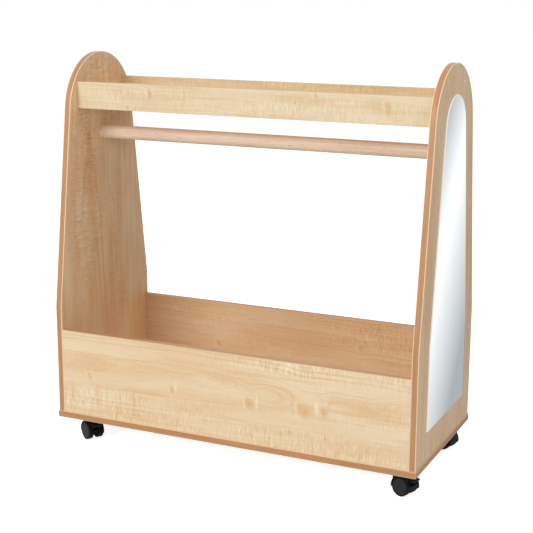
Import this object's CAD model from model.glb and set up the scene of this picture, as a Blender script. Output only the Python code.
import math

import bpy
import numpy as np
from mathutils import Matrix, Vector


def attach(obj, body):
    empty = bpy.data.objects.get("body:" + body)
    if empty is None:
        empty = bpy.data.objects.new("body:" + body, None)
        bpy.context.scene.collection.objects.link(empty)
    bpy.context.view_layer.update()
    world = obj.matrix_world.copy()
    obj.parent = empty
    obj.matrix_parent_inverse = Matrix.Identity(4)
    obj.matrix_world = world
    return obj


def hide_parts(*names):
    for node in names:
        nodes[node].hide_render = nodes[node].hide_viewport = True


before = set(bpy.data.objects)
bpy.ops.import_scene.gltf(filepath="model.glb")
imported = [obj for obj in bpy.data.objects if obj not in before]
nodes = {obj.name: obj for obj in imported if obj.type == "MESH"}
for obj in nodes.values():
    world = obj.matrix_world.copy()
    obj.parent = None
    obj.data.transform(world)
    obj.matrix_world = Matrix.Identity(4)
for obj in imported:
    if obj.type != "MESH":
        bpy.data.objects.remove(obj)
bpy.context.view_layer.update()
mm = 0.001


class NodeTree:  # short calls that add shader nodes and link them
    def __init__(self, tree):
        self.tree = tree
        tree.nodes.clear()

    def add(self, kind, inputs=(), **settings):  # a node; inputs maps sockets to values or to outputs
        made = self.tree.nodes.new(kind)
        for key, value in settings.items():
            setattr(made, key, value)
        for key, value in dict(inputs).items():
            self.put(made.inputs[key], value)
        return made

    def put(self, socket, value):  # links an output to the socket, or sets its value
        if isinstance(value, bpy.types.NodeSocket):
            self.tree.links.new(value, socket)
        else:
            socket.default_value = value

    def math(self, operation, a, b=0.0, c=0.0):  # one operation on up to three numbers
        return self.add("ShaderNodeMath", {0: a, 1: b, 2: c}, operation=operation).outputs[0]

    def times(self, a, b):  # a * b
        return self.math("MULTIPLY", a, b)

    def larger(self, a, b):  # the larger of a and b
        return self.math("MAXIMUM", a, b)

    def scaleAdd(self, a, scale, shift):  # a * scale + shift
        return self.math("MULTIPLY_ADD", a, scale, shift)

    def around(self, middle, noise, reach):  # a plain number swung by noise, middle + (noise - 0.5) * reach
        return self.scaleAdd(noise, reach, middle - reach / 2)

    def swung(self, value, noise, reach):  # the same for a value that varies, value + (noise - 0.5) * reach
        return self.scaleAdd(self.math("SUBTRACT", noise, 0.5), reach, value)

    def vector(self, x, y, z=0.0):  # three numbers as one place
        return self.add("ShaderNodeCombineXYZ", {0: x, 1: y, 2: z}).outputs[0]

    def parts(self, vector):  # x, y and z of a place
        return self.add("ShaderNodeSeparateXYZ", {0: vector}).outputs

    def length(self, vector):  # sqrt(x^2 + y^2 + z^2)
        return self.add("ShaderNodeVectorMath", {0: vector}, operation="LENGTH").outputs[1]

    def place(self):  # the point's own place in the unit
        return self.add("ShaderNodeTexCoord").outputs["Object"]

    def scaled(self, vector, scale, shift=(0, 0, 0)):  # vector * scale + shift, axis by axis
        return self.add("ShaderNodeMapping", {"Vector": vector, "Scale": scale, "Location": shift}).outputs[0]

    # noise of vector * scale + shift
    def noise(self, vector, scale, shift=(0, 0, 0), detail=2.0, rough=0.5):
        at = self.scaled(vector, scale, shift)
        inputs = {"Vector": at, "Scale": 1.0, "Detail": detail, "Roughness": rough}
        return self.add("ShaderNodeTexNoise", inputs).outputs["Fac"]

    def noiseAlong(self, w):  # noise of one number
        inputs = {"W": w, "Scale": 1.0, "Detail": 1.0}
        return self.add("ShaderNodeTexNoise", inputs, noise_dimensions="1D").outputs["Fac"]

    # toLow where value is low or less, toHigh where it is high or more, and in proportion between
    def ramp(self, value, low, high, toLow=0.0, toHigh=1.0, kind="LINEAR"):
        inputs = {"Value": value, "From Min": low, "From Max": high, "To Min": toLow, "To Max": toHigh}
        return self.add("ShaderNodeMapRange", inputs, interpolation_type=kind).outputs[0]

    def step(self, value, low, high, toLow=0.0, toHigh=1.0):  # the same with soft ends, s^2 * (3 - 2 * s)
        return self.ramp(value, low, high, toLow, toHigh, "SMOOTHSTEP")

    def blend(self, share, a, b, how="MIX"):  # a * (1 - share) + b * share, or a mixed with a * b
        made = self.add("ShaderNodeMix", data_type="RGBA", blend_type=how)
        for socket, value in ((made.inputs[0], share), (made.inputs[6], a), (made.inputs[7], b)):
            self.put(socket, value)
        return made.outputs[2]

    def shaded(self, colour, shade, warmth=0.0):  # colour * shade; warmth turns what is darkened browner
        powers = [self.math("POWER", shade, 1 - warmth), shade, self.math("POWER", shade, 1 + 1.4 * warmth)]
        tone = self.add("ShaderNodeCombineColor", dict(enumerate(powers))).outputs[0]
        return self.blend(1.0, colour, tone, "MULTIPLY")

    def bump(self, height, strength, distance):  # tilts the surface by a height
        inputs = {"Height": height, "Strength": strength, "Distance": distance}
        return self.add("ShaderNodeBump", inputs).outputs[0]

    def surface(self, sockets):  # ends the tree with one principled shader
        shader = self.add("ShaderNodeBsdfPrincipled", sockets)
        self.add("ShaderNodeOutputMaterial", {"Surface": shader.outputs[0]})


def linear(red, green, blue):  # an 8-bit screen colour as linear light, ((c + 0.055) / 1.055) ^ 2.4
    c = np.array((red, green, blue)) / 255
    return (*np.where(c < 0.04045, c / 12.92, ((c + 0.055) / 1.055) ** 2.4).tolist(), 1.0)


def newMaterial(name):  # a material and its empty tree
    made = bpy.data.materials.new(name)
    made.use_nodes = True
    return made, NodeTree(made.node_tree)


maple = {
    "pale": linear(243, 220, 186),
    "blush": linear(235, 200, 156),
    "growth": linear(222, 174, 120),  # the late wood of a ring
    "curl": linear(220, 170, 116),    # short marks where the grain dips
    "fleck": linear(216, 166, 114),
    "gleam": linear(252, 238, 214),   # narrow bright slits across the grain
    "ringsPerMetre": 165.0,
    "bandsPerRing": 0.23,
    "sway": {"swayAcross": 0.046, "swayThrough": 0.024, "waver": 0.006},  # how far noise pushes the rings
    "ringEdge": (0.55, 0.63),
    "bandEdge": (0.48, 0.57),
    # how much of its colour each layer lends
    "shares": {"cloud": 0.60, "bands": 0.40, "flame": 0.24, "rings": 0.34, "arch": 0.23, "gleams": 0.70,
               "fleck": 0.35},
    # where an area starts to fade and where it has gone, as shares of its half length and half width
    "fades": {"gleams": (0.2, 1.2), "figured": (0.45, 1.25), "deep": (0.5, 1.2), "patches": (0.3, 1.2)},
    # the shade without marks, and how much each noise changes it; cross and hair are multiplied by
    # everywhere + crossing * how strongly the place is cross-marked
    "shades": {"plain": 0.835, "fine": 0.20, "mid": 0.11, "crossing": 0.42, "everywhere": 0.06,
               "cross": 0.75, "hair": 1.5},
    "warmth": 0.56,
    "roughness": 0.46,
    "roughReach": 0.10,
    "ior": 1.47,
    "specular": 0.28,
    "relief": {"cross": 0.5, "strength": 0.10, "depth": 0.2 * mm},
}

# Noises of the print: scale along the grain, across it and through the board, shift, detail, roughness.
mapleNoise = {
    "swayAcross": ((1.3, 2.0, 2.0), (0, 0, 0), 2.0, 0.5),
    "swayThrough": ((1.5, 2.6, 2.6), (7, 3, 5), 2.0, 0.5),
    "waver": ((11.0, 26.0, 26.0), (4, 1, 9), 2.0, 0.5),
    "figure": ((7.0, 26.0, 26.0), (2, 6, 3), 2.0, 0.5),
    "where": ((1.8, 7.0, 7.0), (9, 2, 6), 2.0, 0.5),
    "cloud": ((2.6, 20.0, 20.0), (1, 9, 3), 3.0, 0.6),
    "flame": ((4.2, 62.0, 62.0), (6, 2, 8), 3.0, 0.6),
    "fine": ((9.0, 480.0, 480.0), (0, 0, 0), 3.0, 0.7),
    "mid": ((7.0, 150.0, 150.0), (2, 8, 4), 2.0, 0.6),
    "cross": ((120.0, 19.0, 19.0), (3, 1, 2), 2.0, 0.65),
    "hair": ((320.0, 50.0, 50.0), (8, 6, 2), 1.0, 0.5),
    "fleck": ((60.0, 260.0, 260.0), (5, 5, 5), 1.0, 0.5),
    "broken": ((4.0, 10.0, 10.0), (11, 4, 8), 2.0, 0.5),
    "stain": ((7.0, 22.0, 22.0), (5, 8, 1), 3.0, 0.6),
}

# Smooth steps over those noises: from, to and, where they aren't 0 and 1, the values there.
mapleSteps = {
    "figure": (0.36, 0.60, 0.3, 1.0), "where": (0.38, 0.60), "cloud": (0.40, 0.66), "flame": (0.56, 0.68),
    "cross": (0.28, 0.50), "fleck": (0.68, 0.80), "broken": (0.50, 0.70, 0.0, 0.5),
}

# A curl, in its own sizes. The rings swell round it by swell * e^(-fall * distance^2), a slanting mark
# lies over it and a bright slit before it. reach, mark and slit are half lengths and half widths.
curlShape = {
    "reach": (1.1, 2.8), "swell": 0.7, "fall": 0.14,
    "mark": (1.3, 1.9), "markSlant": 0.30, "markFade": (0.0, 1.25, 0.52, 0.0),
    "slit": (0.45, 2.2), "slitSlant": 0.15, "slitFade": (0.2, 1.3, 0.35, 0.0), "slitAt": 1.5,
}

# Nested arches. lines: steps of the noise over an arch's length, about two to a line. stagger: how far
# that noise moves on for a metre along the board. waver: how uneven they are, along and across. mouth and
# end: where they fade in past their open side and fade out, in lengths of the arch.
archShape = {
    "lines": 12.0, "stagger": 90, "lineEdge": (0.46, 0.58), "waver": (5.0, 1.8),
    "mouth": (-0.10, 0.45), "end": (0.95, 1.20),
}

# Each board's own print. axes: along the grain, across it and through the board. heart: where the
# centre of the log lies, across and through, and slope: how it slants. rings, crossing and mottle: how
# plain its rings, its cross marks and its clouds are. tint: how its colour differs from the others.
# curls: along, across and size. figured: cross-marked areas as along, across, half length and half width.
# patches: areas given the same way, then how much warmer they are, or paler if it is negative. deep:
# areas and how much darker they are. gleams: bright slits, as areas. arches: nested arches, as the middle
# of their open side, their length (negative if they point the other way) and half width.
boards = {
    "front_board": {
        "axes": "xzy", "heart": (0.218, -0.262), "slope": 0.050,
        "rings": 0.9, "crossing": 1.15, "mottle": 0.08, "tint": (1.0, 1.0, 1.0),
        "curls": [(-0.161, 0.194, 0.007), (0.068, 0.190, 0.010), (0.222, 0.192, 0.014),
                  (0.276, 0.199, 0.008), (-0.421, 0.196, 0.007)],
        "figured": [(-0.30, 0.116, 0.32, 0.055), (0.28, 0.104, 0.36, 0.036), (0.26, 0.300, 0.32, 0.030)],
        "patches": [(0.05, 0.252, 0.13, 0.020, 0.4), (0.42, 0.215, 0.12, 0.030, 0.7),
                    (-0.42, 0.235, 0.08, 0.030, 0.6), (-0.20, 0.150, 0.20, 0.022, 0.4),
                    (-0.12, 0.275, 0.10, 0.012, 0.5), (0.222, 0.194, 0.040, 0.022, 1.0),
                    (0.068, 0.190, 0.026, 0.015, 0.9), (0.280, 0.200, 0.014, 0.018, 0.9),
                    (-0.478, 0.140, 0.007, 0.038, 0.8), (-0.397, 0.142, 0.010, 0.038, 0.8),
                    (-0.280, 0.148, 0.005, 0.030, 1.0), (0.24, 0.155, 0.34, 0.030, -0.55),
                    (-0.38, 0.305, 0.12, 0.016, -0.6), (-0.02, 0.215, 0.14, 0.018, -0.5)],
        "gleams": [(0.258, 0.204, 0.006, 0.028), (0.090, 0.194, 0.005, 0.024), (-0.150, 0.202, 0.004, 0.020)],
        "arches": [(-0.455, 0.244, 0.115, 0.029), (-0.315, 0.246, 0.098, 0.025),
                   (-0.195, 0.230, 0.100, 0.026), (-0.080, 0.236, 0.115, 0.020),
                   (0.090, 0.226, 0.110, 0.019), (0.345, 0.238, -0.080, 0.022),
                   (0.530, 0.238, -0.175, 0.034)]},
    "back_board": {
        "axes": "xzy", "heart": (0.150, 0.270), "slope": -0.045,
        "rings": 0.8, "crossing": 0.9, "mottle": 0.15, "tint": (0.88, 0.82, 0.77),
        "curls": [(0.21, 0.23, 0.008), (-0.25, 0.19, 0.007)],
        "figured": [(0.30, 0.27, 0.24, 0.05)],
        "patches": [(0.0, 0.22, 0.2, 0.03, 0.5)]},
    "base_board": {
        "axes": "xyz", "heart": (0.060, 0.110), "slope": 0.060,
        "rings": 0.8, "crossing": 0.9, "mottle": 0.1, "tint": (1.0, 0.99, 0.97),
        "curls": [(0.28, -0.10, 0.007)],
        "figured": [(-0.2, 0.1, 0.3, 0.1)],
        "patches": [(0.2, 0.0, 0.2, 0.05, 0.5)]},
    "tray_shelf": {
        "axes": "xyz", "heart": (-0.030, 0.985), "slope": 0.040,
        "rings": 0.8, "crossing": 0.9, "mottle": 0.1, "tint": (1.0, 0.99, 0.97),
        "curls": [(0.10, 0.05, 0.007)],
        "figured": [(-0.3, 0.0, 0.3, 0.07)],
        "patches": [(0.3, -0.03, 0.15, 0.03, 0.5)]},
    "tray_front_rail": {
        "axes": "xzy", "heart": (0.890, -0.150), "slope": 0.055,
        "rings": 0.5, "crossing": 0.75, "mottle": 0.12, "tint": (0.92, 0.95, 0.95),
        "curls": [(-0.279, 0.970, 0.007), (0.391, 0.964, 0.008), (-0.35, 0.93, 0.005), (0.20, 0.985, 0.005)],
        "figured": [(-0.30, 0.950, 0.36, 0.040), (0.25, 0.950, 0.34, 0.035)],
        "patches": [(-0.45, 0.955, 0.09, 0.040, -0.9), (0.16, 0.975, 0.10, 0.014, 0.7),
                    (0.36, 0.970, 0.05, 0.016, 0.6), (-0.279, 0.966, 0.005, 0.026, 1.0),
                    (0.391, 0.960, 0.006, 0.026, 1.0), (0.44, 0.950, 0.05, 0.03, -0.6)]},
    "tray_back_rail": {
        "axes": "xzy", "heart": (1.010, 0.150), "slope": -0.050,
        "rings": 0.5, "crossing": 1.0, "mottle": 0.15, "tint": (0.81, 0.81, 0.75),
        "curls": [(0.05, 0.955, 0.005)],
        "figured": [(0.0, 0.96, 0.6, 0.05)],
        "patches": [(-0.30, 0.97, 0.12, 0.02, -0.5)]},
    "end_panel_left": {
        "axes": "zyx", "heart": (-0.070, -0.560), "slope": 0.045,
        "rings": 1.1, "crossing": 1.2, "mottle": 0.35, "tint": (0.98, 0.915, 0.88),
        "curls": [(0.78, -0.06, 0.007), (1.03, -0.045, 0.008), (0.64, 0.05, 0.006)],
        "figured": [(0.96, 0.02, 0.13, 0.12), (0.83, -0.09, 0.13, 0.09), (0.60, -0.10, 0.20, 0.10)],
        "patches": [(0.72, -0.07, 0.10, 0.05, 1.0), (1.01, 0.06, 0.06, 0.03, 0.8),
                    (0.90, -0.10, 0.05, 0.03, -0.6), (0.84, 0.05, 0.07, 0.04, 0.9),
                    (0.50, -0.16, 0.12, 0.03, 0.8), (0.62, -0.12, 0.06, 0.03, -0.5)],
        "deep": [(0.70, -0.08, 0.22, 0.100, 0.08), (0.42, 0.02, 0.18, 0.140, 0.10)]},
    "end_panel_right": {
        "axes": "zyx", "heart": (0.055, 0.570), "slope": -0.045,
        "rings": 1.1, "crossing": 0.9, "mottle": 0.2, "tint": (0.99, 0.92, 0.87),
        "curls": [(0.45, -0.19, 0.006)],
        "figured": [(1.0, 0.0, 0.12, 0.1)],
        "patches": [(1.03, 0.0, 0.05, 0.08, -0.6), (0.2, 0.12, 0.12, 0.06, 0.5)],
        "deep": [(0.62, -0.165, 0.30, 0.050, 0.10), (0.58, 0.175, 0.42, 0.045, 0.09)]},
}


# Rings are noise of the distance from a slanting log axis, sqrt(across^2 + through^2) swayed by slow
# noise. Fibres are noise stretched along the grain, cross marks are noise stretched across it.
def mapleMaterial(name, board):
    made, t = newMaterial(name)
    named = dict(zip("xyz", t.parts(t.place())))
    u, v, w = (named[a] for a in board["axes"])
    grain = t.vector(u, v, w)
    noise = {key: t.noise(grain, *given) for key, given in mapleNoise.items()}
    clear = {key: t.step(noise[key], *ends) for key, ends in mapleSteps.items()}

    swayV, swayW, waver = (t.around(0.0, noise[key], reach) for key, reach in maple["sway"].items())
    fromV = t.math("ADD", t.math("SUBTRACT", v, board["heart"][0]), swayV)
    fromW = t.math("ADD", t.math("SUBTRACT", w, board["heart"][1]), swayW)
    fromW = t.scaleAdd(u, board["slope"], fromW)
    radius = t.math("SQRT", t.math("ADD", t.times(fromV, fromV), t.times(fromW, fromW)))
    radius = t.math("ADD", radius, waver)

    # distance from a place on the board, 1 on an ellipse round it that leans by slant
    def near(along, across, halfLength, halfWidth, slant=0.0):
        leaning = t.vector(t.scaleAdd(v, slant, u), v)
        scale = (1 / halfLength, 1 / halfWidth, 1)
        shift = (-(along + slant * across) * scale[0], -across * scale[1], 0)
        return t.length(t.scaled(leaning, scale, shift))

    # the largest share of the areas that a point lies in; an area may name its own as a fifth number
    def cover(places, fade, share=1.0, least=0.0):
        for *area, own in (place if len(place) > 4 else (*place, share) for place in places):
            least = t.larger(t.step(near(*area), *fade, own, 0.0), least)
        return least

    curl, gleam = 0.0, 0.0
    for along, across, size in board["curls"]:
        reach, mark, slit = ([size * s for s in curlShape[key]] for key in ("reach", "mark", "slit"))
        away = near(along, across, *reach)
        pull = t.math("POWER", math.e, t.times(t.times(away, away), -curlShape["fall"]))
        radius = t.scaleAdd(pull, size * curlShape["swell"], radius)
        over = near(along, across, *mark, curlShape["markSlant"])
        curl = t.larger(t.step(over, *curlShape["markFade"]), curl)
        before = near(along - size * curlShape["slitAt"], across, *slit, curlShape["slitSlant"])
        gleam = t.larger(t.step(before, *curlShape["slitFade"]), gleam)

    fades, shares, shades = maple["fades"], maple["shares"], maple["shades"]
    gleam = cover(board.get("gleams", ()), fades["gleams"], shares["gleams"], gleam)
    marked = t.times(cover(board["figured"], fades["figured"]), clear["figure"])
    deep = cover(board.get("deep", ()), fades["deep"])
    blush = cover([p for p in board["patches"] if p[4] > 0], fades["patches"])
    light = cover([(*p[:4], -p[4]) for p in board["patches"] if p[4] < 0], fades["patches"])

    # arches are rings of the elliptical distance from the middle of their open side, kept beyond it
    arch = 0.0
    if "arches" in board:
        wavering = t.vector(*(t.scaleAdd(waver, much, way) for much, way in zip(archShape["waver"], (u, v))))
    for along, across, length, halfWidth in board.get("arches", ()):
        local = t.scaled(wavering, (1 / length, 1 / halfWidth, 1), (-along / length, -across / halfWidth, 0))
        away = t.length(local)
        beyond = t.step(t.parts(local)[0], *archShape["mouth"])
        line = t.noiseAlong(t.scaleAdd(away, archShape["lines"], along * archShape["stagger"]))
        kept = t.times(beyond, t.step(away, *archShape["end"], 1.0, 0.0))
        arch = t.larger(t.times(t.step(line, *archShape["lineEdge"]), kept), arch)

    turn = t.times(radius, maple["ringsPerMetre"])
    rings = t.step(t.noiseAlong(turn), *maple["ringEdge"])
    bands = t.step(t.noiseAlong(t.times(turn, maple["bandsPerRing"])), *maple["bandEdge"])
    layers = [
        (t.times(clear["cloud"], shares["cloud"]), "blush"),
        (blush, "blush"),
        (light, "pale"),
        (t.times(t.times(bands, clear["where"]), shares["bands"] * board["rings"]), "blush"),
        (t.times(clear["flame"], shares["flame"]), "growth"),
        (t.times(t.times(rings, clear["where"]), shares["rings"] * board["rings"]), "growth"),
        (t.times(arch, shares["arch"]), "growth"),
        (gleam, "gleam"),
    ]
    colour = maple["pale"]
    for share, tone in layers:
        colour = t.blend(share, colour, maple[tone])

    shade = t.scaleAdd(noise["fine"], shades["fine"], shades["plain"])
    shade = t.scaleAdd(noise["mid"], shades["mid"], shade)
    shade = t.swung(shade, noise["stain"], board["mottle"])
    shade = t.math("SUBTRACT", shade, deep)
    crossed = t.larger(marked, clear["broken"])
    strength = t.scaleAdd(crossed, shades["crossing"] * board["crossing"], shades["everywhere"])
    for key in ("cross", "hair"):
        shade = t.swung(shade, noise[key], t.times(strength, shades[key]))
    colour = t.shaded(colour, shade, maple["warmth"])
    colour = t.blend(t.times(clear["fleck"], shares["fleck"]), colour, maple["fleck"])
    colour = t.blend(t.times(curl, clear["cross"]), colour, maple["curl"])
    colour = t.blend(1.0, colour, (*board["tint"], 1.0), "MULTIPLY")
    relief = maple["relief"]
    height = t.scaleAdd(noise["cross"], relief["cross"], noise["fine"])
    rough = t.around(maple["roughness"], noise["fine"], maple["roughReach"])
    t.surface({"Base Color": colour, "Roughness": rough, "IOR": maple["ior"],
               "Specular IOR Level": maple["specular"],
               "Normal": t.bump(height, relief["strength"], relief["depth"])})
    return made


# streaks, tones and pores: scale along the strip and across it, shift, detail and roughness of a noise
edgingLook = {
    "base": linear(207, 157, 114),
    "streak": linear(180, 126, 84),
    "trimmed": linear(253, 226, 190),  # the corners, where the trimmer has bared the core
    "roughness": 0.36,
    "ior": 1.5,
    "specular": 0.22,
    "streaks": ((6.0, 460.0, 1.0), (0, 0, 0), 3.0, 0.6),
    "tones": ((2.4, 120.0, 1.0), (4, 2, 0), 2.0, 0.5),
    "pores": ((70.0, 1400.0, 1.0), (1, 7, 0), 1.0, 0.5),
    "streakEdge": (0.38, 0.68),
    "poreEdge": (0.62, 0.74),
    "shares": {"streaks": 0.50, "tones": 0.45, "pores": 0.30},
    # where the trimmed colour starts and is whole, in widths of the trim from a long or upright corner
    "cornerFade": (1.0, 0.45),
    "turnFade": (0.8, 0.3),
    "relief": (0.12, 0.2 * mm),
}
mapleEdgingLook = dict(edgingLook, base=linear(214, 180, 146), streak=linear(194, 152, 114),
                       trimmed=linear(222, 192, 158))
plinthEdgingLook = dict(edgingLook, trimmed=linear(232, 198, 158))
troughEdgingLook = dict(edgingLook, base=linear(204, 158, 118), trimmed=linear(228, 192, 152))


# Streaks follow the strip's own UV, in metres, and the share of the trimmed colour grows towards both
# long corners. turnAt, if given, is where the strip bends round an upright corner that is trimmed too.
def edgingMaterial(name, look, width, trim, turnAt=None):
    made, t = newMaterial(name)
    uv = t.add("ShaderNodeUVMap", uv_map="strip").outputs[0]
    streaks, tones, pores = (t.noise(uv, *look[key]) for key in ("streaks", "tones", "pores"))
    shares = look["shares"]
    streaky = t.times(t.step(streaks, *look["streakEdge"]), shares["streaks"])
    share = t.math("ADD", streaky, t.times(tones, shares["tones"]))
    colour = t.blend(share, look["base"], look["streak"])
    colour = t.blend(t.times(t.step(pores, *look["poreEdge"]), shares["pores"]), colour, look["streak"])
    fromMiddle = t.math("ABSOLUTE", t.math("SUBTRACT", t.parts(uv)[1], width / 2))
    corner = t.step(fromMiddle, *(width / 2 - trim * fade for fade in look["cornerFade"]))
    if turnAt:
        place = t.parts(t.place())
        beyond = [t.step(t.math("ABSOLUTE", way), *(turn - trim * fade for fade in look["turnFade"]))
                  for way, turn in zip(place, turnAt)]
        corner = t.larger(corner, t.times(*beyond))
    t.surface({"Base Color": t.blend(corner, colour, look["trimmed"]), "Roughness": look["roughness"],
               "IOR": look["ior"], "Specular IOR Level": look["specular"],
               "Normal": t.bump(streaks, *look["relief"])})
    return made


beechLook = {
    "pale": linear(247, 224, 201),
    "warm": linear(234, 203, 176),
    "sapwood": linear(252, 234, 212),
    "fleck": linear(188, 142, 110),
    "streaks": ((5.0, 170.0, 170.0), (0, 0, 0), 3.0, 0.6),
    "fibres": ((40.0, 700.0, 700.0), (0, 0, 0), 2.0, 0.6),
    "flecks": ((75.0, 560.0, 560.0), (2, 5, 1), 1.0, 0.5),
    "streakEdge": (0.3, 0.7),
    "fleckEdge": (0.64, 0.74),
    "fleckShare": 0.50,
    "sapwoodFade": (-0.53, -0.37, 0.9, 0.0),  # from and to along X, and its share there
    "shade": 0.99,
    "shadeReach": 0.20,
}


# Pinkish streaks along X with short darker flecks, under a satin lacquer. One end is paler sapwood.
def beechMaterial():
    made, t = newMaterial("lacquered_beech")
    look, place = beechLook, t.place()
    streaks, fibres, flecks = (t.noise(place, *look[key]) for key in ("streaks", "fibres", "flecks"))
    colour = t.blend(t.step(streaks, *look["streakEdge"]), look["pale"], look["warm"])
    colour = t.blend(t.step(t.parts(place)[0], *look["sapwoodFade"]), colour, look["sapwood"])
    colour = t.blend(t.times(t.step(flecks, *look["fleckEdge"]), look["fleckShare"]), colour, look["fleck"])
    colour = t.shaded(colour, t.around(look["shade"], fibres, look["shadeReach"]))
    t.surface({"Base Color": colour, "Roughness": 0.50, "Specular IOR Level": 0.35, "Coat Weight": 0.06,
               "Coat Roughness": 0.3, "Normal": t.bump(fibres, 0.10, 0.2 * mm)})
    return made


glassLook = {
    "silver": (0.90, 0.92, 0.93, 1),
    "clouds": ((9.0, 9.0, 9.0), (0, 0, 0), 3.0, 0.5),
    "haze": (0.35, 0.75, 0.010, 0.025),  # from and to in the clouds, and the roughness there
    "edgeDark": linear(214, 226, 226),
    "edgePale": linear(238, 243, 243),
    "edgeLines": ((2600.0, 60.0, 60.0), (0, 0, 0), 2.0, 0.5),
    "edgeGlow": 0.38,
}


# A clear silvered face with a little cloud in its polish, too faint to see head on.
def silveredMaterial():
    made, t = newMaterial("silvered_glass")
    haze = t.step(t.noise(t.place(), *glassLook["clouds"]), *glassLook["haze"])
    t.surface({"Base Color": glassLook["silver"], "Metallic": 1.0, "Roughness": haze})
    return made


# Ground and polished glass edge: almost white, with fine lines along the grinding. A faint glow stands
# in for the light that comes through the sheet and leaves at its edge.
def groundEdgeMaterial():
    made, t = newMaterial("ground_glass_edge")
    lines = t.noise(t.place(), *glassLook["edgeLines"])
    colour = t.blend(lines, glassLook["edgeDark"], glassLook["edgePale"])
    t.surface({"Base Color": colour, "Roughness": 0.28, "IOR": 1.52, "Coat Weight": 0.4,
               "Coat Roughness": 0.08, "Emission Color": colour, "Emission Strength": glassLook["edgeGlow"]})
    return made


# The castors' moulded nylon: its colour, the greyer tone of rubbed spots, roughness and size of grain.
plastics = {
    "black_nylon": ((0.007, 0.007, 0.007, 1), (0.015, 0.015, 0.015, 1), 0.44, 0.35 * mm),
    "tread_nylon": ((0.008, 0.008, 0.008, 1), (0.020, 0.019, 0.018, 1), 0.52, 0.45 * mm),
    "cover_nylon": ((0.026, 0.026, 0.026, 1), (0.042, 0.042, 0.043, 1), 0.42, 0.30 * mm),
}
mouldedLook = {
    "flow": ((60.0, 60.0, 90.0), (0, 0, 0), 3.0, 0.5),
    "rubbed": ((240.0, 240.0, 240.0), (3, 1, 4), 3.0, 0.6),
    "rubbedEdge": (0.52, 0.72),
    "flowShare": 0.30,
    "rubbedShare": 0.40,
    "roughReach": 0.16,
}


# Moulded nylon: spark-eroded grain as bump, faint flow marks and rubbed, greyer spots in its colour.
def mouldedMaterial(name, colour, lighter, roughness, grainSize):
    made, t = newMaterial(name)
    look, place = mouldedLook, t.place()
    grain = t.noise(place, (1 / grainSize,) * 3, rough=0.6)
    flow, rubbed = (t.noise(place, *look[key]) for key in ("flow", "rubbed"))
    rubbed = t.times(t.step(rubbed, *look["rubbedEdge"]), look["rubbedShare"])
    share = t.math("ADD", rubbed, t.times(flow, look["flowShare"]))
    t.surface({"Base Color": t.blend(share, colour, lighter), "IOR": 1.5, "Specular IOR Level": 0.14,
               "Roughness": t.around(roughness, grain, look["roughReach"]),
               "Normal": t.bump(grain, 0.35, grainSize * 0.25)})
    return made


steelLook = {
    "dark": (0.56, 0.57, 0.58, 1), "pale": (0.68, 0.68, 0.67, 1), "spanglesPerMetre": 420.0,
    "rolling": ((60.0, 1800.0, 1800.0), (0, 0, 0), 2.0, 0.5), "roughness": 0.33, "roughReach": 0.18,
}
foamLook = {"dark": linear(196, 196, 190), "pale": linear(240, 240, 235), "cellsPerMetre": 2600.0}


# Zinc-plated steel: a faint spangle, and fine rolling lines in its roughness.
def steelMaterial():
    made, t = newMaterial("zinc_plate")
    place = t.place()
    cells = t.scaled(place, (steelLook["spanglesPerMetre"],) * 3)
    spangle = t.add("ShaderNodeTexVoronoi", {"Vector": cells}).outputs["Color"]
    tone = t.add("ShaderNodeSeparateColor", {0: spangle}).outputs[0]
    lines = t.noise(place, *steelLook["rolling"])
    t.surface({"Base Color": t.blend(tone, steelLook["dark"], steelLook["pale"]), "Metallic": 1.0,
               "Roughness": t.around(steelLook["roughness"], lines, steelLook["roughReach"]),
               "Normal": t.bump(lines, 0.08, 0.1 * mm)})
    return made


# White foam tape: small open cells in its colour and bump.
def foamMaterial():
    made, t = newMaterial("foam_tape")
    cells = t.scaled(t.place(), (foamLook["cellsPerMetre"],) * 3)
    wall = t.add("ShaderNodeTexVoronoi", {"Vector": cells}).outputs["Distance"]
    t.surface({"Base Color": t.blend(wall, foamLook["dark"], foamLook["pale"]), "Roughness": 0.8,
               "Normal": t.bump(wall, 0.4, 0.2 * mm)})
    return made


edging = {
    "thick": 2 * mm, "radius": 1.2 * mm, "board": 18 * mm,
    "trims": {"panel": 2.6 * mm, "plinth": 1.82 * mm, "trough": 1.3 * mm, "tray": 0.8 * mm},
}
plinth = {"halfX": 0.5275, "halfY": 0.2375, "bottom": 62 * mm}

trims = edging["trims"]
tanEdging = edgingMaterial("tan_edging", edgingLook, edging["board"], trims["panel"])
plinthEdging = edgingMaterial("tan_plinth_edging", plinthEdgingLook, edging["board"], trims["plinth"],
                              (plinth["halfX"], plinth["halfY"]))
troughEdging = edgingMaterial("tan_trough_edging", troughEdgingLook, edging["board"], trims["trough"])
mapleEdging = edgingMaterial("maple_edging", mapleEdgingLook, edging["board"], trims["tray"])
beech = beechMaterial()
silvered = silveredMaterial()
groundEdge = groundEdgeMaterial()
hoodPlastic, treadPlastic, coverPlastic = (mouldedMaterial(name, *look) for name, look in plastics.items())
steel = steelMaterial()
foam = foamMaterial()
for name, board in boards.items():
    nodes[name].data.materials.clear()
    nodes[name].data.materials.append(mapleMaterial("maple_" + name, board))
print("materials made:", len(bpy.data.materials))


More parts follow.
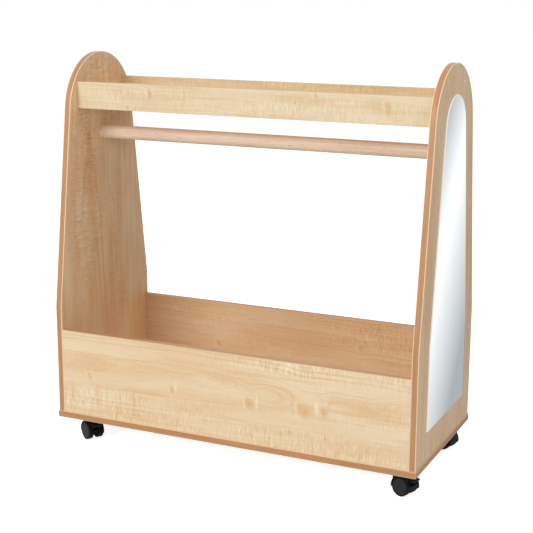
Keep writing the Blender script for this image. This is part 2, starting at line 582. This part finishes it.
# A mesh piece at the origin that rides on body and stands for node; uvs has one row per face corner.
# Edges where faces meet at more than sharp degrees stay sharp.
def newPiece(name, points, faces, materials, body, node, uvs=None, sharp=40.0):
    mesh = bpy.data.meshes.new(name)
    mesh.from_pydata(points.tolist(), [], faces)
    mesh.validate()
    for m in materials:
        mesh.materials.append(m)
    mesh.shade_smooth()
    mesh.set_sharp_from_angle(angle=math.radians(sharp))
    if uvs is not None:
        layer = mesh.uv_layers.new(name="strip")
        layer.data.foreach_set("uv", np.ascontiguousarray(uvs, dtype=np.float32).ravel())
    piece = bpy.data.objects.new(name, mesh)
    bpy.context.scene.collection.objects.link(piece)
    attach(piece, body)
    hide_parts(node)
    return piece


# Quads between neighbouring rows and columns of a grid of points numbered row by row; a closed way
# runs on from its last line to its first.
def gridFaces(rows, columns, closedRows, closedColumns):
    r = np.arange(rows if closedRows else rows - 1)
    c = np.arange(columns if closedColumns else columns - 1)
    a, b = np.meshgrid(r, c, indexing="ij")
    nextA, nextB = (a + 1) % rows, (b + 1) % columns
    quads = np.stack([a * columns + b, nextA * columns + b, nextA * columns + nextB, a * columns + nextB], -1)
    return quads.reshape(-1, 4).tolist()


# The flat ends of a solid whose rows run round it: its first points, turned to face out, and its last.
def endFaces(rows, columns):
    first = [row * columns for row in range(rows)]
    return [first[::-1], [point + columns - 1 for point in first]]


# UV rows that match gridFaces, in metres: along by row and across by column. A closed way has one
# value more.
def gridUvs(along, across):
    a, b = np.meshgrid(np.arange(len(along) - 1), np.arange(len(across) - 1), indexing="ij")
    corners = [(a, b), (a + 1, b), (a + 1, b + 1), (a, b + 1)]
    return np.stack([np.stack([along[i], across[j]], -1) for i, j in corners], 2).reshape(-1, 2)


# Points centre + radius * (cos, sin) at count angles from start to end, in degrees.
def arcPoints(centre, radius, start, end, count):
    a = np.radians(np.linspace(start, end, count))
    return np.column_stack([centre[0] + radius * np.cos(a), centre[1] + radius * np.sin(a)])


panel = {
    "halfDepth": 235 * mm, "bendRadius": 120 * mm, "bendHeight": 304 * mm, "bendSteps": 7,
    "archRadius": 161 * mm, "archHeight": 828 * mm, "archSteps": 41, "bottom": 80 * mm,
    "starts": {"left": -0.525, "right": 0.507},
}


# Outline of an end panel drawn inwards by inset, as depth and height: a straight side, a soft bend, a
# side that leans in and meets the arch as a tangent, the arch, and then the mirror image.
def panelOutline(inset, bottom=0.0):
    run, rise = panel["halfDepth"], panel["archHeight"] - panel["bendHeight"]
    lean = math.acos(panel["archRadius"] / math.hypot(run, rise)) - math.atan2(rise, run)
    bendAt = (panel["halfDepth"] - panel["bendRadius"],
              panel["bendHeight"] - panel["bendRadius"] * math.tan(lean / 2))
    archAt = (0, panel["archHeight"])
    half = np.vstack([
        [[panel["halfDepth"] - inset, bottom]],
        arcPoints(bendAt, panel["bendRadius"] - inset, 0, math.degrees(lean), panel["bendSteps"]),
        arcPoints(archAt, panel["archRadius"] - inset, math.degrees(lean), 90, panel["archSteps"]),
    ])
    return np.vstack([half, half[-2::-1] * [-1, 1]]) + [0, panel["bottom"]]


# Closed section as inset and place across the board: a flat outside, two corners rounded by a quarter
# turn of radius, and a flat inside.
def edgingSection(thick, radius, board, steps=6):
    a = np.linspace(0, np.pi / 2, steps)
    low = radius * np.column_stack([1 - np.sin(a), 1 - np.cos(a)])
    high = low[::-1] * [1, -1] + [0, board]
    return np.vstack([[[thick, 0.0]], low, high, [[thick, board]]])


# Joins rings of points, shaped rows by columns by xyz, into a tube and closes its ends if it is open;
# across holds each column's place over the width of the strip.
def stripPiece(name, rings, closed, node, material, across):
    rows, columns = rings.shape[:2]
    middle = rings.mean(1)
    along = np.concatenate([[0], np.cumsum(np.linalg.norm(np.diff(middle, axis=0), axis=1))])
    faces = gridFaces(rows, columns, closed, True)
    if closed:
        along = np.append(along, along[-1] + np.linalg.norm(middle[0] - middle[-1]))
    uvs = gridUvs(along, np.append(across, across[0]))
    if not closed:
        faces += [list(range(columns))[::-1], [(rows - 1) * columns + i for i in range(columns)]]
        uvs = np.vstack([uvs, np.column_stack([np.full(columns, along[0]), across[::-1]]),
                         np.column_stack([np.full(columns, along[-1]), across])])
    newPiece(name, rings.reshape(-1, 3), faces, [material], "carcass", node, uvs, 50.0)


section = edgingSection(edging["thick"], edging["radius"], edging["board"])
for side, start in panel["starts"].items():
    outlines = [np.insert(panelOutline(inset), 0, start + across, axis=1) for inset, across in section]
    rings = np.stack(outlines, 1)[::-1]
    stripPiece("panel_edging_" + side, rings, False, "end_edging_" + side, tanEdging,
               section[:, 1])


# Rectangle with round corners, as points that run anticlockwise.
def boxPath(halfX, halfY, inward, corner, steps=5):
    turns = [(1, 1, 0), (-1, 1, 90), (-1, -1, 180), (1, -1, 270)]
    return np.vstack([arcPoints((sx * (halfX - inward), sy * (halfY - inward)), corner, a, a + 90, steps)
                      for sx, sy, a in turns])


baseRings = np.stack([
    np.insert(boxPath(plinth["halfX"], plinth["halfY"], edging["thick"], edging["thick"] - inset), 2,
              plinth["bottom"] + across, axis=1)
    for inset, across in section
], 1)
stripPiece("plinth_edging", baseRings, True, "base_edging", plinthEdging, section[:, 1])

# The tray's outer faces lie where the arch is trayRise above its centre, set in by trayInset.
flatEdges = {
    "halfLength": 0.507, "troughTop": 0.318, "trayTop": 0.994, "trayBottom": 0.921, "trayRise": 86 * mm,
    "trayInset": 12 * mm, "trayThick": 1 * mm, "trayRadius": 0.5 * mm, "steps": 26,
}
trayHalf = math.sqrt(panel["archRadius"] ** 2 - flatEdges["trayRise"] ** 2) - flatEdges["trayInset"]


# A strip along X whose section lies on top of a board that starts at y, or under it if it is turned over.
def flatEdging(name, node, y, height, thick, radius, material, turnedOver=False):
    shape = edgingSection(thick, radius, edging["board"])
    heights = height + shape[:, 0] * (1 if turnedOver else -1)
    ring = np.column_stack([np.zeros(len(shape)), y + shape[:, 1], heights])
    along = np.linspace(-flatEdges["halfLength"], flatEdges["halfLength"], flatEdges["steps"])
    rings = ring[None] + along[:, None, None] * [1, 0, 0]
    across = shape[:, 1]
    if not turnedOver:
        rings, across = rings[:, ::-1], across[::-1]
    stripPiece(name, rings, False, node, material, across)


for name, node, y in (("front_trough_edging", "front_board_edging", -panel["halfDepth"]),
                      ("back_trough_edging", "back_board_edging", panel["halfDepth"] - edging["board"])):
    flatEdging(name, node, y, flatEdges["troughTop"], edging["thick"], edging["radius"], troughEdging)
for label, y in (("front", -trayHalf), ("back", trayHalf - edging["board"])):
    for end in ("top", "bottom"):
        flatEdging(f"tray_{label}_{end}_edging", "tray_edging", y, flatEdges["tray" + end.title()],
                   flatEdges["trayThick"], flatEdges["trayRadius"], mapleEdging,
                   end == "bottom")
print("edgings swept")


# Surface of revolution: radius and height pairs turned about Z in count steps, then placed by a 4 by 4
# matrix.
def turned(profile, count, place):
    a = np.linspace(0, 2 * np.pi, count, endpoint=False)
    r, z = profile[:, 0], np.broadcast_to(profile[:, 1], (count, len(profile)))
    points = np.stack([np.outer(np.cos(a), r), np.outer(np.sin(a), r), z], -1)
    m = np.array(place)
    return points.reshape(-1, 3) @ m[:3, :3].T + m[:3, 3]


rail = {"radius": 19 * mm, "half": 0.5167, "height": 0.845, "chamfer": 1 * mm, "core": 0.5 * mm, "count": 96}
railHalf = np.array([
    [rail["radius"], rail["half"] - rail["chamfer"]],
    [rail["radius"] - rail["chamfer"], rail["half"]],
    [rail["core"], rail["half"]],
])
railProfile = np.vstack([railHalf[::-1] * [1, -1], railHalf])
railPlace = Matrix.Translation((0, 0, rail["height"])) @ Matrix.Rotation(math.pi / 2, 4, "Y")
railSize = (rail["count"], len(railProfile))
railFaces = gridFaces(*railSize, True, False) + endFaces(*railSize)
newPiece("clothes_rail", turned(railProfile, rail["count"], railPlace), railFaces, [beech], "carcass",
         "hanging_rail")

glass = {"inset": 78 * mm, "back": 0.5258, "thick": 3 * mm, "bevel": 0.8 * mm, "sharp": 20.0}
outer = panelOutline(glass["inset"], glass["inset"])
inner = panelOutline(glass["inset"] + glass["bevel"], glass["inset"] + glass["bevel"])
glassFace = glass["back"] + glass["thick"]
glassRings = np.stack([
    np.insert(outer, 0, glass["back"], axis=1),
    np.insert(outer, 0, glassFace - glass["bevel"], axis=1),
    np.insert(inner, 0, glassFace, axis=1),
], 1)
glassSize = glassRings.shape[:2]
mirrorPiece = newPiece("wall_mirror", glassRings.reshape(-1, 3),
                       gridFaces(*glassSize, True, False) + endFaces(*glassSize), [groundEdge, silvered],
                       "carcass", "mirror", None, glass["sharp"])
mirrorPiece.data.polygons[len(mirrorPiece.data.polygons) - 1].material_index = 1
print("rail and mirror made")

corners = ("front_left", "front_right", "rear_left", "rear_right")
rounding = {"hood": 0.35 * mm, "tyre": 0.25 * mm, "disc": 0.25 * mm, "pedal": 0.5 * mm}
# flatUnder, roundOver and sharpOver are the angles between two faces, in degrees
softening = {"weld": 0.002 * mm, "flatUnder": 1.0, "roundOver": 38, "sharpOver": 42, "segments": 2}


# A merged copy of a CAD node with its flat faces joined, its corners rounded by width and its curves
# smooth.
def softened(node, name, body, material, width):
    mesh = nodes[node].data.copy()
    mesh.name = name
    mesh.materials.clear()
    mesh.materials.append(material)
    piece = bpy.data.objects.new(name, mesh)
    bpy.context.scene.collection.objects.link(piece)
    weld = piece.modifiers.new("weld", "WELD")
    weld.merge_threshold = softening["weld"]
    flat = piece.modifiers.new("flat", "DECIMATE")
    flat.decimate_type = "DISSOLVE"
    flat.angle_limit = math.radians(softening["flatUnder"])
    bevel = piece.modifiers.new("round", "BEVEL")
    bevel.width = width
    bevel.segments = softening["segments"]
    bevel.limit_method = "ANGLE"
    bevel.angle_limit = math.radians(softening["roundOver"])
    bevel.use_clamp_overlap = True
    done = bpy.data.meshes.new_from_object(piece.evaluated_get(bpy.context.evaluated_depsgraph_get()))
    piece.modifiers.clear()
    piece.data = done
    done.name = name
    done.shade_smooth()
    done.set_sharp_from_angle(angle=math.radians(softening["sharpOver"]))
    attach(piece, body)
    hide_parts(node)


for corner in corners:
    softened("castor_hood_" + corner, "hood_" + corner, "castor_" + corner, hoodPlastic,
             rounding["hood"])
    for side in ("left", "right"):
        body = f"{side}_wheel_{corner}"
        softened(f"wheel_{side}_{corner}", f"tyre_{side}_{corner}", body, treadPlastic,
                 rounding["tyre"])
        softened(f"wheel_cover_{side}_{corner}", f"disc_{side}_{corner}", body, coverPlastic,
                 rounding["disc"])
for corner in corners[:2]:
    softened("brake_lever_" + corner, "pedal_" + corner, "brake_" + corner, hoodPlastic,
             rounding["pedal"])
print("castors softened")

# CAD nodes that only take a material, by how their names start
plain = {
    steel: ("castor_plate", "kingpin", "axle", "brake_pin", "base_screws", "castor_screws"),
    foam: ("mirror_tape",),
    beech: ("board_dowels",),
}
for material, starts in plain.items():
    for name, thing in nodes.items():
        if name.startswith(starts):
            thing.data.materials.clear()
            thing.data.materials.append(material)

studio = {
    "white": (1, 1, 1, 1), "floor": (0.80, 0.80, 0.80, 1), "floorSize": 60, "floorGlow": 0.82,
    "ambient": 0.26, "cardStrength": 1.10, "cardGrey": linear(172, 176, 180),
    "viewer": (1.37849, -2.96714, 1.26641),
    # soft grey fields as seen in the mirror: depth = slope * (height - level) + offset is where a field
    # starts, width how far it takes to reach its full share; a negative width runs to the front
    "fields": [{"slope": 0.65, "level": 0.60, "offset": -0.05, "width": 0.36, "share": 1.0},
               {"slope": 0.78, "level": 0.90, "offset": 0.085, "width": -0.19, "share": 0.80}],
}


# White to the camera, and a pale diffuse that keeps shadows. To reflections it is a white card with two
# soft grey fields, laid out by where the viewer sees each point in the mirror: with t = (x - face) /
# (viewer x - face), depth = (y + viewer y * t) / (1 + t) and height = viewer z * t / (1 + t).
def studioFloor():
    made, t = newMaterial("studio_floor")
    path = t.add("ShaderNodeLightPath")
    place = t.parts(t.place())
    viewX, viewY, viewZ = studio["viewer"]
    past = t.math("DIVIDE", t.math("SUBTRACT", place[0], glassFace), viewX - glassFace)
    whole = t.math("ADD", past, 1.0)
    depth = t.math("DIVIDE", t.scaleAdd(past, viewY, place[1]), whole)
    height = t.math("DIVIDE", t.times(past, viewZ), whole)
    share = 0.0
    for f in studio["fields"]:
        start = t.scaleAdd(height, f["slope"], f["offset"] - f["slope"] * f["level"])
        run = t.math("DIVIDE", t.math("SUBTRACT", depth, start), f["width"])
        share = t.larger(t.ramp(run, 0.0, 1.0, 0.0, f["share"]), share)
    shine = t.larger(path.outputs["Is Glossy Ray"], path.outputs["Is Transmission Ray"])
    diffuse = t.add("ShaderNodeBsdfDiffuse", {"Color": studio["floor"]}).outputs[0]
    glow = t.add("ShaderNodeEmission", {"Color": studio["white"], "Strength": studio["floorGlow"]}).outputs[0]
    seen = t.add("ShaderNodeAddShader", {0: diffuse, 1: glow}).outputs[0]
    unlit = t.add("ShaderNodeMixShader", {0: path.outputs["Is Camera Ray"], 1: diffuse, 2: seen}).outputs[0]
    card = t.add("ShaderNodeEmission", {"Color": t.blend(share, studio["white"], studio["cardGrey"]),
                                        "Strength": studio["cardStrength"]}).outputs[0]
    mix = t.add("ShaderNodeMixShader", {0: shine, 1: unlit, 2: card})
    t.add("ShaderNodeOutputMaterial", {"Surface": mix.outputs[0]})
    return made


bpy.ops.mesh.primitive_plane_add(size=studio["floorSize"], location=(0, 0, 0))
floor = bpy.context.object
floor.name = "floor"
floor.data.materials.append(studioFloor())

# white to the camera and to reflections, and a dimmer fill light on all else
world = bpy.data.worlds.new("studio")
bpy.context.scene.world = world
world.use_nodes = True
air = NodeTree(world.node_tree)
path = air.add("ShaderNodeLightPath")
shiny = air.larger(path.outputs["Is Glossy Ray"], path.outputs["Is Transmission Ray"])
strength = air.step(air.larger(path.outputs["Is Camera Ray"], shiny), 0.0, 1.0, studio["ambient"], 1.0)
backdrop = air.add("ShaderNodeBackground", {"Color": studio["white"], "Strength": strength})
air.add("ShaderNodeOutputWorld", {"Surface": backdrop.outputs[0]})

# the back lamp stays out of reflections, because its glare would break the line of the arches
lamps = {
    "key": {"spot": (-2.2, -6.4, 4.0), "aim": (0, 0, 0.5), "size": 3.5, "power": 306, "reflected": True},
    "side": {"spot": (4.6, -2.9, 1.9), "aim": (-0.4, 0, 0.7), "size": 1.1, "power": 33, "reflected": True},
    "back": {"spot": (-1.8, 5.2, 3.2), "aim": (0, 0, 0.5), "size": 2.0, "power": 55, "reflected": False},
    "top": {"spot": (1.2, -0.6, 3.4), "aim": (0, 0, 0.6), "size": 2.4, "power": 24, "reflected": True},
}
for name, given in lamps.items():
    light = bpy.data.lights.new(name, "AREA")
    light.size = given["size"]
    light.energy = given["power"]
    lamp = bpy.data.objects.new(name, light)
    bpy.context.scene.collection.objects.link(lamp)
    lamp.visible_glossy = given["reflected"]
    lamp.location = given["spot"]
    lamp.rotation_euler = (Vector(given["aim"]) - Vector(given["spot"])).to_track_quat("-Z", "Y").to_euler()

# angles in radians; focal is the focal length in pixels of a frame that is frame pixels wide
view = {"place": studio["viewer"], "yaw": 0.43258, "pitch": 0.23000, "roll": 0.00406, "focal": 1225.35,
        "frame": 533, "sensor": 36, "farthest": 100}
yaw, pitch, roll = view["yaw"], view["pitch"], view["roll"]
forward = Vector((-math.sin(yaw) * math.cos(pitch), math.cos(yaw) * math.cos(pitch), -math.sin(pitch)))
right = Vector((math.cos(yaw), math.sin(yaw), 0))
up = right.cross(forward)
right, up = right * math.cos(roll) + up * math.sin(roll), up * math.cos(roll) - right * math.sin(roll)
cameraData = bpy.data.cameras.new("camera")
camera = bpy.data.objects.new("camera", cameraData)
bpy.context.scene.collection.objects.link(camera)
cameraData.sensor_width = view["sensor"]
cameraData.lens = view["focal"] / view["frame"] * view["sensor"]
cameraData.clip_end = view["farthest"]
camera.matrix_world = Matrix.Translation(view["place"]) @ Matrix((right, up, -forward)).transposed().to_4x4()
bpy.context.scene.camera = camera
bpy.context.scene.view_settings.view_transform = "Standard"
print("studio set")
